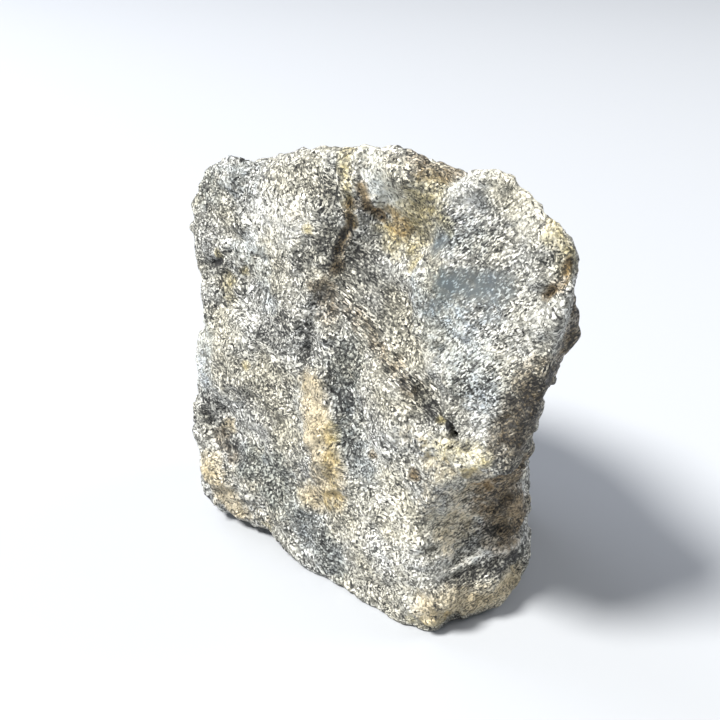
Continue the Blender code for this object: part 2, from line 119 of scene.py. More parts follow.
PATCHES: tuple[Patch, ...] = (
    # pale rock and painted highlight: the left hump and the lobes at the left edge and the top centre are made paler
    # where the light falls on them
    Patch("painted highlight on the left hump", Mark.PALE_AND_HIGHLIT, ((-22.1, -18, 77), (-15.1, -19, 80)), 10, 1.4),
    Patch("bright band under the hump", Mark.PALE_AND_HIGHLIT, ((-31.1, -16, 69), (-23.1, -18, 70)), 6, 0.9),
    Patch("painted highlight on the lobe at the left edge", Mark.PALE_AND_HIGHLIT, ((-39.1, -20, 47), (-41.1, -20, 37)), 6, 1.0),
    Patch("bright lobe, lower", Mark.PALE_AND_HIGHLIT, ((-40.1, -20, 37), (-31.1, -21, 36)), 5, 0.6),
    Patch("top centre lobe", Mark.PALE_AND_HIGHLIT, ((2.9, -16, 92), (5.9, -16, 87)), 8, 1.5),
    Patch("right top", Mark.PALE_AND_HIGHLIT, ((20.9, -18, 91), (30.9, -18, 93), (36.9, -19, 88)), 8, 0.8),
    Patch("right facet", Mark.PALE_AND_HIGHLIT, ((38.9, -22, 76), (36.9, -23, 70), (24.9, -22, 63)), 11, 0.7),
    Patch("right facet, low", Mark.PALE_AND_HIGHLIT, ((24.9, -22, 63), (30.9, -24, 55)), 8, 0.4),
    Patch("cream ledge", Mark.PALE_AND_HIGHLIT, ((22.9, -24, 43), (31.9, -27, 45)), 6, 0.75),
    Patch("middle bulge", Mark.PALE_AND_HIGHLIT, ((15.9, -26, 46), (13.9, -25, 36)), 8, 0.6),
    Patch("lower middle", Mark.PALE_AND_HIGHLIT, ((10.9, -25, 33), (12.9, -25, 26), (17.9, -27, 15)), 12, 0.9),
    Patch("front foot", Mark.PALE_AND_HIGHLIT, ((8.9, -25, 15), (20.9, -27, 6)), 9, 0.7),
    Patch("pale lumps of the foot", Mark.PALE_AND_HIGHLIT, ((24.9, -26, 9), (30.9, -17, 8), (33.9, -8, 9)), 4, 0.7),
    Patch("flank's cream front", Mark.PALE_AND_HIGHLIT, ((25.9, -22, 36), (24.9, -23, 27), (25.9, -22, 19)), 7, 0.8),
    Patch("light band on the flank", Mark.PALE_AND_HIGHLIT, ((25.9, -25, 14.5), (29.9, -15, 14.5), (33.9, -5, 14)), 1.5, 2.0),
    Patch("light band, cool", Mark.COOL, ((25.9, -25, 14.5), (29.9, -15, 14.5), (33.9, -5, 14)), 2.0, 0.3),
    Patch("left top", Mark.DARK, ((-39.1, -15, 78), (-30.1, -16, 74)), 8, 0.35),
    Patch("left top corner", Mark.DARK, ((-37.1, -14, 84), (-29.1, -14, 84)), 7, 0.25),
    # painted shade: the dark beside and under the crease and in the valley in the middle stands for the shade that
    # falls there
    Patch("painted shade beside the crease", Mark.DARK, ((-6.1, -17, 86), (-8.1, -18, 76)), 5, 0.8),
    Patch("under the crease", Mark.DARK, ((-8.1, -18, 73), (-11.1, -18, 68)), 6, 0.5),
    Patch("middle valley", Mark.DARK, ((-0.1, -16, 72), (3.9, -17, 62)), 9, 0.65),
    Patch("left middle", Mark.DARK, ((-17.1, -20, 56), (-21.1, -20, 53)), 6, 0.8),
    Patch("left middle, small", Mark.DARK, ((-26.1, -20, 60), (-25.1, -20, 56)), 4, 0.4),
    Patch("blue-black trough", Mark.DARK, ((-1.1, -20, 53), (-0.6, -20.5, 45)), 6, 0.8),
    Patch("trough, low", Mark.DARK, ((0.9, -22, 38), (5.9, -23, 32)), 5.5, 0.8),
    Patch("charcoal", Mark.DARK, ((-26.1, -22, 20), (-17.1, -23, 22), (-19.1, -23, 15)), 7, 0.42),
    Patch("left dark band", Mark.DARK, ((-40.1, -19, 31), (-34.1, -20, 22), (-28.1, -22, 20)), 5, 0.9),
    Patch("left dark spot", Mark.DARK, ((-41.1, -18, 28), (-40.1, -18, 25)), 2.5, 1.3),
    Patch("bottom dark", Mark.DARK, ((-10.1, -24, 12), (-1.1, -25, 7)), 7, 0.7),
    Patch("grey brow", Mark.DARK, ((28.9, -18, 88), (20.9, -18, 82)), 6, 0.35),
    # painted shade: the dark at the right facet's edge, below the facet and the ledge, along the cleft and in the
    # cavity stands for the shade on these undersides and in these hollows
    Patch("painted shade at the right facet's edge", Mark.DARK, ((41.9, -21, 63), (39.4, -24, 57), (37.9, -24, 52)), 6, 1.4),
    # brown rock and painted shade under the right facet
    Patch("brown rock and painted shade at the right facet's edge", Mark.BROWN, ((41.9, -21, 64), (39.9, -24, 57), (37.9, -24, 50)), 7, 1.0),
    Patch("under the facet", Mark.DARK, ((38.9, -17, 50), (36.9, -24, 48)), 6, 1.3),
    Patch("painted shade under the ledge", Mark.DARK, ((30.9, -25, 39), (36.9, -18, 41)), 6, 0.9),
    Patch("painted shade along the cleft to the cavity", Mark.DARK, ((13.9, -22, 54), (17.9, -22, 52), (20.9, -22, 49)), 2.8, 1.2),
    Patch("cavity", Mark.DARK, ((23.7, -23.3, 48), (25.4, -24.2, 46.9), (27.9, -25.2, 45.8)), 1.9, 4.0),
    Patch("painted shade in the small cavity", Mark.DARK, ((30.4, -26, 47.2),), 1.4, 3.0),
    Patch(
        # painted shade: the dark lines in the crease, in the valley crease and in the slot stand for the shade in these
        # grooves
        "painted shade in the crease", Mark.DARK, ((-1.6, -16.8, 84), (-2.4, -16.5, 80), (-4, -17, 76), (-7.5, -17.5, 70.5)), 1.1, 1.3
    ),
    Patch("painted shade in the valley crease", Mark.DARK, ((-10.1, -19, 57), (-11.1, -19.5, 52), (-11.6, -20.5, 47)), 1.8, 0.8),
    Patch("slot", Mark.DARK, ((-38.1, -16.5, 63.7), (-35.6, -17, 65)), 1.2, 2.2),
    Patch("dark seam on the flank", Mark.DARK, ((26.9, -21, 11.3), (30.9, -15, 11.8), (33.9, -8, 12)), 3.2, 1.4),
    Patch("facet middle grey", Mark.DARK, ((27.9, -22, 66), (26.9, -22, 63)), 4, 0.35),
    Patch("rear of the top", Mark.DARK, ((0.9, -6, 91), (14.9, -6, 88)), 10, 0.5),
    Patch("back upper", Mark.DARK, ((-9, 20, 66), (7, 22, 58)), 15, 0.85),
    Patch("back low left", Mark.DARK, ((-33, 18, 26), (-23, 24, 14)), 13, 0.8),
    Patch("right back", Mark.DARK, ((29, 2, 58), (21, 12, 40)), 11, 0.7),
    Patch("seam across the back", Mark.DARK, ((-36, 19, 54), (-20, 24, 46), (-4, 26, 50), (8, 26, 41)), 2.4, 0.7),
    Patch("seam on the left side", Mark.DARK, ((-46, -6, 66), (-45, 4, 52), (-45, 2, 40)), 2.4, 0.7),
    Patch("back charcoal", Mark.DARK, ((-34, 16, 62), (-28, 18, 54)), 9, 0.9),
    Patch("left side", Mark.DARK, ((-43.1, 2, 50), (-42.1, 8, 30)), 12, 0.4),
    Patch("back middle", Mark.PALE_AND_HIGHLIT, ((-1, 25, 44), (-13, 25, 36)), 13, 0.9),
    Patch("back top edge", Mark.PALE_AND_HIGHLIT, ((-30, 12, 80), (-12, 14, 82), (4, 10, 84)), 8, 0.9),
    Patch("back low middle", Mark.PALE_AND_HIGHLIT, ((-20, 22, 12), (-4, 24, 10)), 9, 0.8),
    Patch("left side, high", Mark.PALE_AND_HIGHLIT, ((-45, -4, 72), (-44, 4, 62)), 9, 0.9),
    Patch("left side, low", Mark.PALE_AND_HIGHLIT, ((-42, -4, 24), (-40, 6, 14)), 9, 0.7),
    Patch("back right low", Mark.PALE_AND_HIGHLIT, ((18.9, 18, 26), (8.9, 24, 12)), 12, 0.5),
    Patch("stripe down the crease", Mark.OCHRE, ((-3.1, -15, 93), (-3.1, -16.5, 89), (-1.6, -17, 84)), 2.8, 0.9),
    Patch("stripe, low", Mark.OCHRE, ((-1.6, -17, 84), (-2.1, -17, 80)), 1.8, 0.8),
    Patch("ochre field", Mark.OCHRE, ((14.9, -18, 89), (9.9, -14, 82), (6.9, -14.5, 79)), 8, 0.8),
    Patch("olive rim of the tan patch", Mark.OCHRE, ((-2, -23.5, 38), (-1, -25, 27)), 3, 0.8),
    Patch("ochre spot", Mark.OCHRE, ((15.9, -17, 86.5),), 2.2, 1.5),
    Patch("yellow tail", Mark.OCHRE, ((8.9, -14.5, 79), (12.9, -15.5, 75)), 3.6, 0.9),
    Patch("yellow on the brow", Mark.OCHRE, ((17.9, -18, 86), (19.9, -18, 85)), 3.5, 0.8),
    Patch("yellow corner", Mark.OCHRE, ((40.4, -19, 89), (42.9, -19, 86), (43.9, -19, 83)), 4.5, 0.8),
    Patch("ochre over the slot", Mark.OCHRE, ((-35.1, -17, 67),), 2.2, 1.3),
    Patch("yellow under the slot", Mark.OCHRE, ((-33.1, -17, 62), (-34.1, -17, 57)), 3.6, 0.6),
    Patch("orange spot", Mark.OCHRE, ((-29.1, -16.5, 64),), 2.0, 1.1),
    Patch("orange spot on the hump", Mark.OCHRE, ((-10.6, -18.5, 77.5),), 2.2, 0.9),
    Patch("orange spot, left middle", Mark.OCHRE, ((-26.6, -21.5, 44.5),), 1.8, 1.1),
    Patch("ochre by the cavity", Mark.OCHRE, ((22.4, -22, 48.5),), 1.6, 1.6),
    Patch("yellow rim of the ledge", Mark.OCHRE, ((34.9, -26.5, 47), (30.9, -27, 44)), 2.6, 0.9),
    Patch("ledge", Mark.OCHRE, ((22.9, -24, 43), (31.9, -27, 46)), 6, 0.6),
    Patch("low yellow", Mark.OCHRE, ((-3.1, -24, 20), (-0.1, -25, 24)), 4, 0.6),
    Patch("yellow at the lower edge", Mark.OCHRE, ((-23.1, -24, 4), (-21.1, -24, 3)), 3, 0.6),
    Patch("foot rim", Mark.OCHRE, ((20.9, -27, 3), (28.9, -24, 3)), 4, 0.6),
    Patch("back stain", Mark.OCHRE, ((5, 26, 50), (11, 24, 34)), 8, 0.9),
    Patch("rust under the back seam", Mark.OCHRE, ((-24, 22, 46), (-10, 25, 42)), 4, 0.9),
    Patch("ochre on the rear slope", Mark.OCHRE, ((-8, 2, 88), (6, 6, 84)), 6, 0.7),
    Patch("left side stain", Mark.OCHRE, ((-44, 6, 62), (-43, 10, 50)), 7, 0.9),
    Patch("tan patch", Mark.TAN, ((-8.1, -22, 45), (-5.1, -25, 36), (-2.1, -25, 29), (-2.1, -25, 24)), 6.6, 1.5),
    Patch("tan patch, low", Mark.TAN, ((-8.1, -23, 19), (-2.1, -24.5, 22)), 6, 1.2),
    Patch("tan at the left", Mark.TAN, ((-35.1, -19, 25.5), (-33.1, -20, 25)), 2.8, 1.2),
    Patch("tan at the left, low", Mark.TAN, ((-37.1, -22, 15), (-34.1, -23.5, 10), (-30.1, -24, 6)), 6.5, 1.3),
    Patch("tan at the lower left edge", Mark.TAN, ((-27.1, -23, 9), (-21.1, -24, 6)), 4, 0.5),
    Patch("tan over the ledge", Mark.TAN, ((17.9, -25, 45), (22.9, -25, 39)), 4.5, 0.5),
    Patch("tan by the bulge", Mark.TAN, ((22.9, -23, 36), (21.9, -25, 28)), 5, 0.5),
    Patch("tan foot", Mark.TAN, ((24.9, -26, 8), (30.9, -18, 6), (32.9, -9, 7)), 6.5, 1.3),
    Patch("tan on the flank", Mark.TAN, ((27.9, -20, 33), (25.9, -21, 22)), 6, 0.8),
    Patch("tan rim of the ledge", Mark.TAN, ((25.9, -25, 40), (33.9, -26.5, 43)), 4, 0.8),
    Patch("tan hollow of the top", Mark.TAN, ((3.9, -14, 83), (6.9, -14, 80)), 4, 0.6),
    Patch("back tan", Mark.TAN, ((-17, 24, 22), (-25, 22, 34)), 7, 1.1),
    Patch("tan on the right back", Mark.TAN, ((24, 6, 70), (20, 12, 58)), 6, 0.9),
    Patch("tan on the left side", Mark.TAN, ((-43, -2, 38), (-42, 2, 30)), 5, 1.0),
    Patch("brown arc under the lobe", Mark.BROWN, ((0.4, -16, 88), (1.4, -16, 84), (3.9, -14, 82)), 2.0, 1.2),
    Patch("brown field", Mark.BROWN, ((5.9, -14, 83), (8.9, -14, 80)), 4, 0.6),
    Patch("brown under the crease", Mark.BROWN, ((-8.1, -18, 67), (-6.6, -17.5, 61)), 5, 0.7),
    Patch("brown crease", Mark.BROWN, ((-1.1, -17, 85), (-3.6, -17, 76), (-6.1, -17, 70)), 2.2, 1.0),
    Patch("brown fibres", Mark.BROWN, ((-2.1, -17, 63), (5.9, -19, 58), (15.9, -22, 53)), 4, 0.5),
    Patch("rear lump", Mark.BROWN, ((12.9, -16, 94), (16.9, -10, 90), (6.9, -2, 89)), 6, 0.8),
    Patch("maroon spots", Mark.BROWN, ((18.9, -25, 36.5),), 2.4, 1.4),
    Patch("maroon spot by the trough", Mark.BROWN, ((8.4, -23, 36),), 1.8, 1.2),
    Patch("left brown", Mark.BROWN, ((-37.1, -19, 23), (-32.1, -21, 19)), 4, 0.7),
    # brown rock and painted shade: the right edge strip and the flank are darkened as the side turned from the light
    Patch("right edge strip", Mark.BROWN, ((42.9, -13, 74), (41.9, -14, 66), (38.9, -12, 50)), 7, 1.1),
    Patch("painted shade on the right edge strip", Mark.DARK, ((42.9, -13, 72), (41.9, -13, 62), (38.9, -12, 50)), 7, 1.0),
    Patch("flank", Mark.BROWN, ((35.9, -18, 42), (33.9, -14, 30), (33.9, -9, 20)), 11, 1.3),
    Patch("flank's upper shade", Mark.DARK, ((36.9, -14, 40), (34.9, -10, 32)), 9, 0.3),
    Patch("pale lump high on the flank", Mark.PALE_AND_HIGHLIT, ((31.9, -18, 37), (30.9, -17, 33)), 3.4, 1.0),
    Patch("pale lump on the flank", Mark.PALE_AND_HIGHLIT, ((27.9, -20, 26), (28.9, -17, 23)), 3.6, 1.0),
    Patch("pale lump, rear flank", Mark.PALE_AND_HIGHLIT, ((32.9, -10, 26), (32.9, -8, 22)), 3.2, 0.8),
    # painted shade in the hollows of the flank
    Patch("painted shade in a hollow on the flank", Mark.DARK, ((29.9, -16, 30), (31.9, -12, 28)), 2.6, 0.7),
    Patch("painted shade in a low hollow on the flank", Mark.DARK, ((29.9, -15, 19.5), (32.9, -9, 19)), 2.6, 0.7),
    Patch("flank, front", Mark.TAN, ((28.9, -19, 32), (26.9, -20, 21)), 8, 0.9),
    Patch("crack at the right edge", Mark.BROWN, ((43.4, -19.5, 84), (42.9, -22, 81), (40.9, -22, 78)), 1.6, 1.2),
    Patch("back brown", Mark.BROWN, ((12, 18, 58), (24, 8, 74)), 13, 0.6),
    Patch("brown low on the back", Mark.BROWN, ((4, 25, 14), (16, 20, 8)), 9, 0.9),
    Patch("cool top lobe", Mark.COOL, ((2.9, -16, 92), (5.9, -16, 87)), 8, 0.55),
    Patch("cool left lobe", Mark.COOL, ((-39.1, -20, 48), (-40.1, -20, 36)), 7, 0.6),
    Patch("cool under the hump", Mark.COOL, ((-29.1, -16, 69), (-25.1, -18, 70), (-21.1, -19, 60)), 7, 0.6),
    Patch("cool trough", Mark.COOL, ((-1.1, -20, 54), (0.9, -22, 38), (5.9, -23, 32)), 8, 0.65),
    Patch("cool facet", Mark.COOL, ((16.9, -21, 72), (24.9, -22, 66), (30.9, -24, 59)), 10, 0.75),
    Patch("cool brow", Mark.COOL, ((18.9, -18, 82), (24.9, -19, 84)), 6, 0.7),
    Patch("cool charcoal", Mark.COOL, ((-26.1, -22, 20), (-17.1, -23, 22), (-19.1, -23, 15)), 8, 0.9),
    Patch("cool bottom", Mark.COOL, ((-13.1, -24, 14), (-1.1, -25, 6)), 9, 0.8),
    Patch("cool left top", Mark.COOL, ((-39.1, -15, 80), (-29.1, -15, 84)), 9, 0.6),
    Patch("cool back", Mark.COOL, ((-9.1, 22, 62), (4.9, 22, 40)), 20, 0.8),
    Patch("slate-blue face", Mark.SLATE, ((21.9, -20.5, 75), (26.9, -20.5, 76), (32.9, -20, 77.5)), 5.2, 1.2),
    Patch("slate-blue face, low", Mark.SLATE, ((18.9, -21, 71), (31.9, -21, 72)), 5.5, 0.45),
    Patch("slate sliver on the brow", Mark.SLATE, ((18.9, -18, 82), (16.9, -17, 79)), 2.6, 0.7),
    Patch("facet grain", Mark.FOLIATED, ((26.9, -21, 82), (30.9, -22, 72), (30.9, -24, 58)), 18, 1.4),
    Patch("flank grain", Mark.FOLIATED, ((34.9, -18, 44), (28.9, -18, 24), (28.9, -16, 8)), 15, 1.3),
    Patch("edge grain", Mark.FOLIATED, ((42.9, -14, 78), (40.9, -12, 56)), 12, 1.2),
    Patch("back grain", Mark.FOLIATED, ((17, 16, 60), (21, 12, 30)), 20, 1.2),
    Patch("back fibres", Mark.FIBROUS, ((-30, 20, 40), (-16, 24, 30)), 9, 1.1),
    Patch("left side grain", Mark.FOLIATED, ((-44, 0, 50), (-44, 6, 30)), 14, 1.1),
    Patch("back lumps", Mark.LUMPY, ((-34, 16, 70), (-10, 18, 72), (10, 16, 66)), 16, 0.7),
    Patch("low back lumps", Mark.LUMPY, ((-24, 22, 14), (10, 24, 12)), 12, 0.6),
    Patch("crest lumps", Mark.LUMPY, ((-40, -10, 86), (-10, -8, 92), (14, -6, 90)), 8, 0.6),
    Patch("flank lumps", Mark.LUMPY, ((33.9, -17, 40), (30.9, -14, 28), (27.9, -18, 20)), 13, 1.0),
    Patch("foot lumps", Mark.LUMPY, ((18.9, -27, 7), (27.9, -24, 7), (33.9, -8, 8)), 8, 0.9),
    Patch("lumps under the facet", Mark.LUMPY, ((39.9, -14, 58), (37.9, -18, 50)), 9, 0.25),
    Patch("lumps at the lower left", Mark.LUMPY, ((-39.1, -20, 24), (-29.1, -22, 16)), 9, 0.5),
    Patch("fibres", Mark.FIBROUS, ((-5.1, -16, 66), (5.4, -19, 58), (15.4, -22, 53), (19.9, -21, 51)), 6, 1.3),
    Patch("fibres in the valley", Mark.FIBROUS, ((0.9, -16, 72), (6.9, -18, 66)), 6, 0.8),
)

CRACKS: tuple[Crack, ...] = (
    Crack("crease by the hump", ((-1.6, -17, 86), (-2.1, -16.5, 80), (-3.6, -17, 76.5), (-6.1, -17, 71)), 1.0, 0.9),
    Crack("crease down the valley", ((-8.1, -18, 66), (-9.6, -19, 59), (-11.1, -19.5, 52), (-12.1, -21, 44)), 0.9, 0.7),
    Crack("arc under the top lobe", ((-0.1, -16, 89), (1.4, -16, 84), (3.9, -14, 82)), 1.0, 0.7),
    Crack("crack at the right edge", ((43.4, -19.5, 84), (42.9, -22, 81), (40.9, -22, 78)), 0.9, 0.9),
    Crack("slot at the left edge", ((-38.6, -16.5, 64), (-36.1, -17, 65), (-34.1, -17, 66)), 1.1, 1.6),
    Crack("edge of the right facet", ((10.9, -17, 76), (12.9, -20, 68), (13.9, -20, 61), (17.9, -22, 54)), 1.0, 0.6),
    Crack("cleft into the cavity", ((16.9, -22, 53), (20.9, -22.5, 49.8), (23.4, -23, 48)), 1.1, 0.7),
    Crack("cavity", ((23.7, -23.3, 48), (25.4, -24.2, 46.9), (27.9, -25.2, 45.8)), 1.7, 3.0),
    Crack("under the facet", ((27.9, -25.5, 47.3), (30.9, -26, 47.8), (34.9, -26.5, 48.5)), 0.9, 0.8),
    Crack("over the light band", ((24.9, -24.5, 16.5), (29.9, -15, 16.5), (33.9, -5, 16)), 0.9, 0.4),
    Crack("under the light band", ((25.9, -24, 12.6), (29.9, -15, 12.8), (33.9, -5, 12.3)), 1.2, 1.0),
    Crack("light band, raised", ((25.9, -24.5, 14.5), (29.9, -15, 14.6), (33.9, -5, 14.1)), 1.1, -0.7),
    Crack("flank seam", ((27.9, -19, 33), (31.9, -13, 31)), 0.9, 0.6),
    Crack("seam across the back", ((-36, 19, 54), (-20, 24, 46), (-4, 26, 50), (8, 26, 41)), 1.2, 0.9),
    Crack("step low on the back", ((-30, 20, 22), (-6, 25, 16), (14, 22, 20)), 1.3, 0.9),
    Crack("seam on the left side", ((-46, -6, 66), (-45, 4, 52), (-45, 2, 40)), 1.1, 0.9),
    Crack("cleft in the rear slope", ((-22, 0, 88), (-18, 10, 82), (-16, 18, 72)), 1.2, 1.0),
)


def linear(hex_colour: str) -> tuple[float, float, float, float]:
    """Turns an sRGB hex colour into linear red, green, blue and alpha.

    Args:
        hex_colour: The colour as "#rrggbb".

    Returns:
        The linear colour, with alpha 1.
    """
    parts = [int(hex_colour[start : start + 2], 16) / 255 for start in (1, 3, 5)]
    red, green, blue = (c / 12.92 if c <= 0.04045 else ((c + 0.055) / 1.055) ** 2.4 for c in parts)
    return red, green, blue, 1.0


def add_node(
    tree: bpy.types.NodeTree,
    kind: str,
    settings: dict[str, Any] | None = None,
    links: dict[str | int, Any] | None = None,
) -> bpy.types.Node:
    """Adds a node with its settings and its inputs.

    Args:
        tree: The tree that it goes in.
        kind: The node's type.
        settings: Its properties, by name.
        links: Its inputs, by name or number: each a socket to link from, or a value.

    Returns:
        The node.
    """
    node = tree.nodes.new(kind)
    for name, value in (settings or {}).items():
        setattr(node, name, value)
    for name, value in (links or {}).items():
        if isinstance(value, bpy.types.NodeSocket):
            tree.links.new(value, node.inputs[name])
        else:
            node.inputs[name].default_value = value
    return node


def set_stops(ramp: bpy.types.ColorRamp, stops: Sequence[tuple[float, str]]) -> None:
    """Gives a colour ramp its stops.

    Args:
        ramp: The ramp.
        stops: The place and the hex colour of each stop, in order.
    """
    while len(ramp.elements) < len(stops):
        ramp.elements.new(1.0)
    for element, (place, colour) in zip(ramp.elements, stops):
        element.position = place
        element.color = linear(colour)


def nearest_on_path(places: np.ndarray, path: Sequence[Point]) -> np.ndarray:
    """The distance from each place to a path.

    Args:
        places: The places, one a row.
        path: The path's corners, or one place.

    Returns:
        The distances.
    """
    corners = np.array(path, float)
    if len(corners) == 1:
        return np.linalg.norm(places - corners[0], axis=1)
    best = np.full(len(places), np.inf)
    for start, end in zip(corners[:-1], corners[1:]):
        run = end - start
        share = np.clip((places - start) @ run / max(run @ run, NO_LENGTH), 0, 1)
        best = np.minimum(best, np.linalg.norm(places - (start + share[:, None] * run), axis=1))
    return best


def laid(
    surface: kdtree.KDTree,
    path: Sequence[Point],
    spacing: float = 1.5,
    crooked: float = 1.1,
    bend: float = 4.0,
) -> list[Point]:
    """A path laid on the surface, so that a narrow mark keeps to it, and made crooked as a crack is.

    Args:
        surface: The surface's points.
        path: The path's corners, or one place.
        spacing: How far apart its new corners are at most.
        crooked: How far it strays to the sides.
        bend: How long each of its bends is.

    Returns:
        The corners of the laid path.
    """
    corners = [Vector(corner) for corner in path]
    found = [surface.find(corners[0])[0]]
    for start, end in zip(corners[:-1], corners[1:]):
        count = math.ceil((end - start).length / spacing)
        for step in range(1, count + 1):
            place = start.lerp(end, step / count)
            found.append(surface.find(place + crooked * noise.noise_vector(place / bend))[0])
    return [tuple(place) for place in found]


def dome(share: np.ndarray) -> np.ndarray:
    """A smooth bump: 1 at share 0, and 0 from share 1 on."""
    return np.clip(1 - share**2, 0, 1) ** 2


@dataclass(frozen=True)
class Relief:
    """How the rock broke between the forms of its solid.

    Args:
        waves: The length and height of each size of unevenness.
        chips: The size and tilt of each size of chip.
        step: The thickness and height of the steps where the rock broke across its layers.
        layers: The direction across the rock's layers.
        layer_bend: The length and height of the bends in the layers.
        lean_draw: What a chip's centre is multiplied by to draw its lean.
        foot_fade: The height over which the relief dies out above the flat foot.
        coarse_over: The size over which unevenness is stronger where the rock is lumpy.
    """

    waves: tuple[tuple[float, float], ...] = ((9.0, 0.4), (4.2, 0.45), (2.2, 0.3), (1.4, 0.14))
    chips: tuple[tuple[float, float], ...] = ((5.5, 0.16), (2.6, 0.18))
    step: tuple[float, float] = (2.6, 0.34)
    layers: Point = (-0.71, 0.10, 0.68)
    layer_bend: tuple[float, float] = (8.0, 1.6)
    lean_draw: float = 53.7
    foot_fade: float = 1.2
    coarse_over: float = 3.0

    def chip_height(self, place: Vector, size: float, tilt: float) -> float:
        """How high a chip stands at a place.

        Args:
            place: Where.
            size: The chips' size.
            tilt: How far each leans, as its rise over its run.

        Returns:
            The height.
        """
        centre = noise.voronoi(place / size)[1][0]
        lean = (noise.cell_vector(centre * self.lean_draw) - Vector((0.5, 0.5, 0.5))) * 2
        return tilt * (place - centre * size).dot(lean)

    def height(self, place: Vector, foliated: float, lumpy: float) -> float:
        """How high the broken surface stands at a place.

        Args:
            place: Where.
            foliated: How much of the layering shows there, from 0 to 1.
            lumpy: How much coarser than elsewhere it broke there.

        Returns:
            The height.
        """
        total = 0.0
        for long, tall in self.waves:
            coarser = 1 + lumpy if long > self.coarse_over else 1
            total += coarser * tall * noise.noise(place / long + Vector((long, 3.1, 7.7)))
        for size, tilt in self.chips:
            coarser = 1 + lumpy if size > self.coarse_over else 1
            total += coarser * self.chip_height(place, size, tilt)
        if foliated > 0:
            thick, tall = self.step
            bend_length, bend_height = self.layer_bend
            bend = bend_height * noise.noise(place / bend_length)
            across = (place.dot(Vector(self.layers)) + bend) / thick
            total += foliated * tall * (across - math.floor(across) - 0.5)
        return total


@dataclass(frozen=True)
class Cells:
    """One mosaic of crystals in the shader.

    Args:
        value: The socket of each crystal's own random number.
        facet: The socket of the height of its tilted face.
    """

    value: Any
    facet: Any


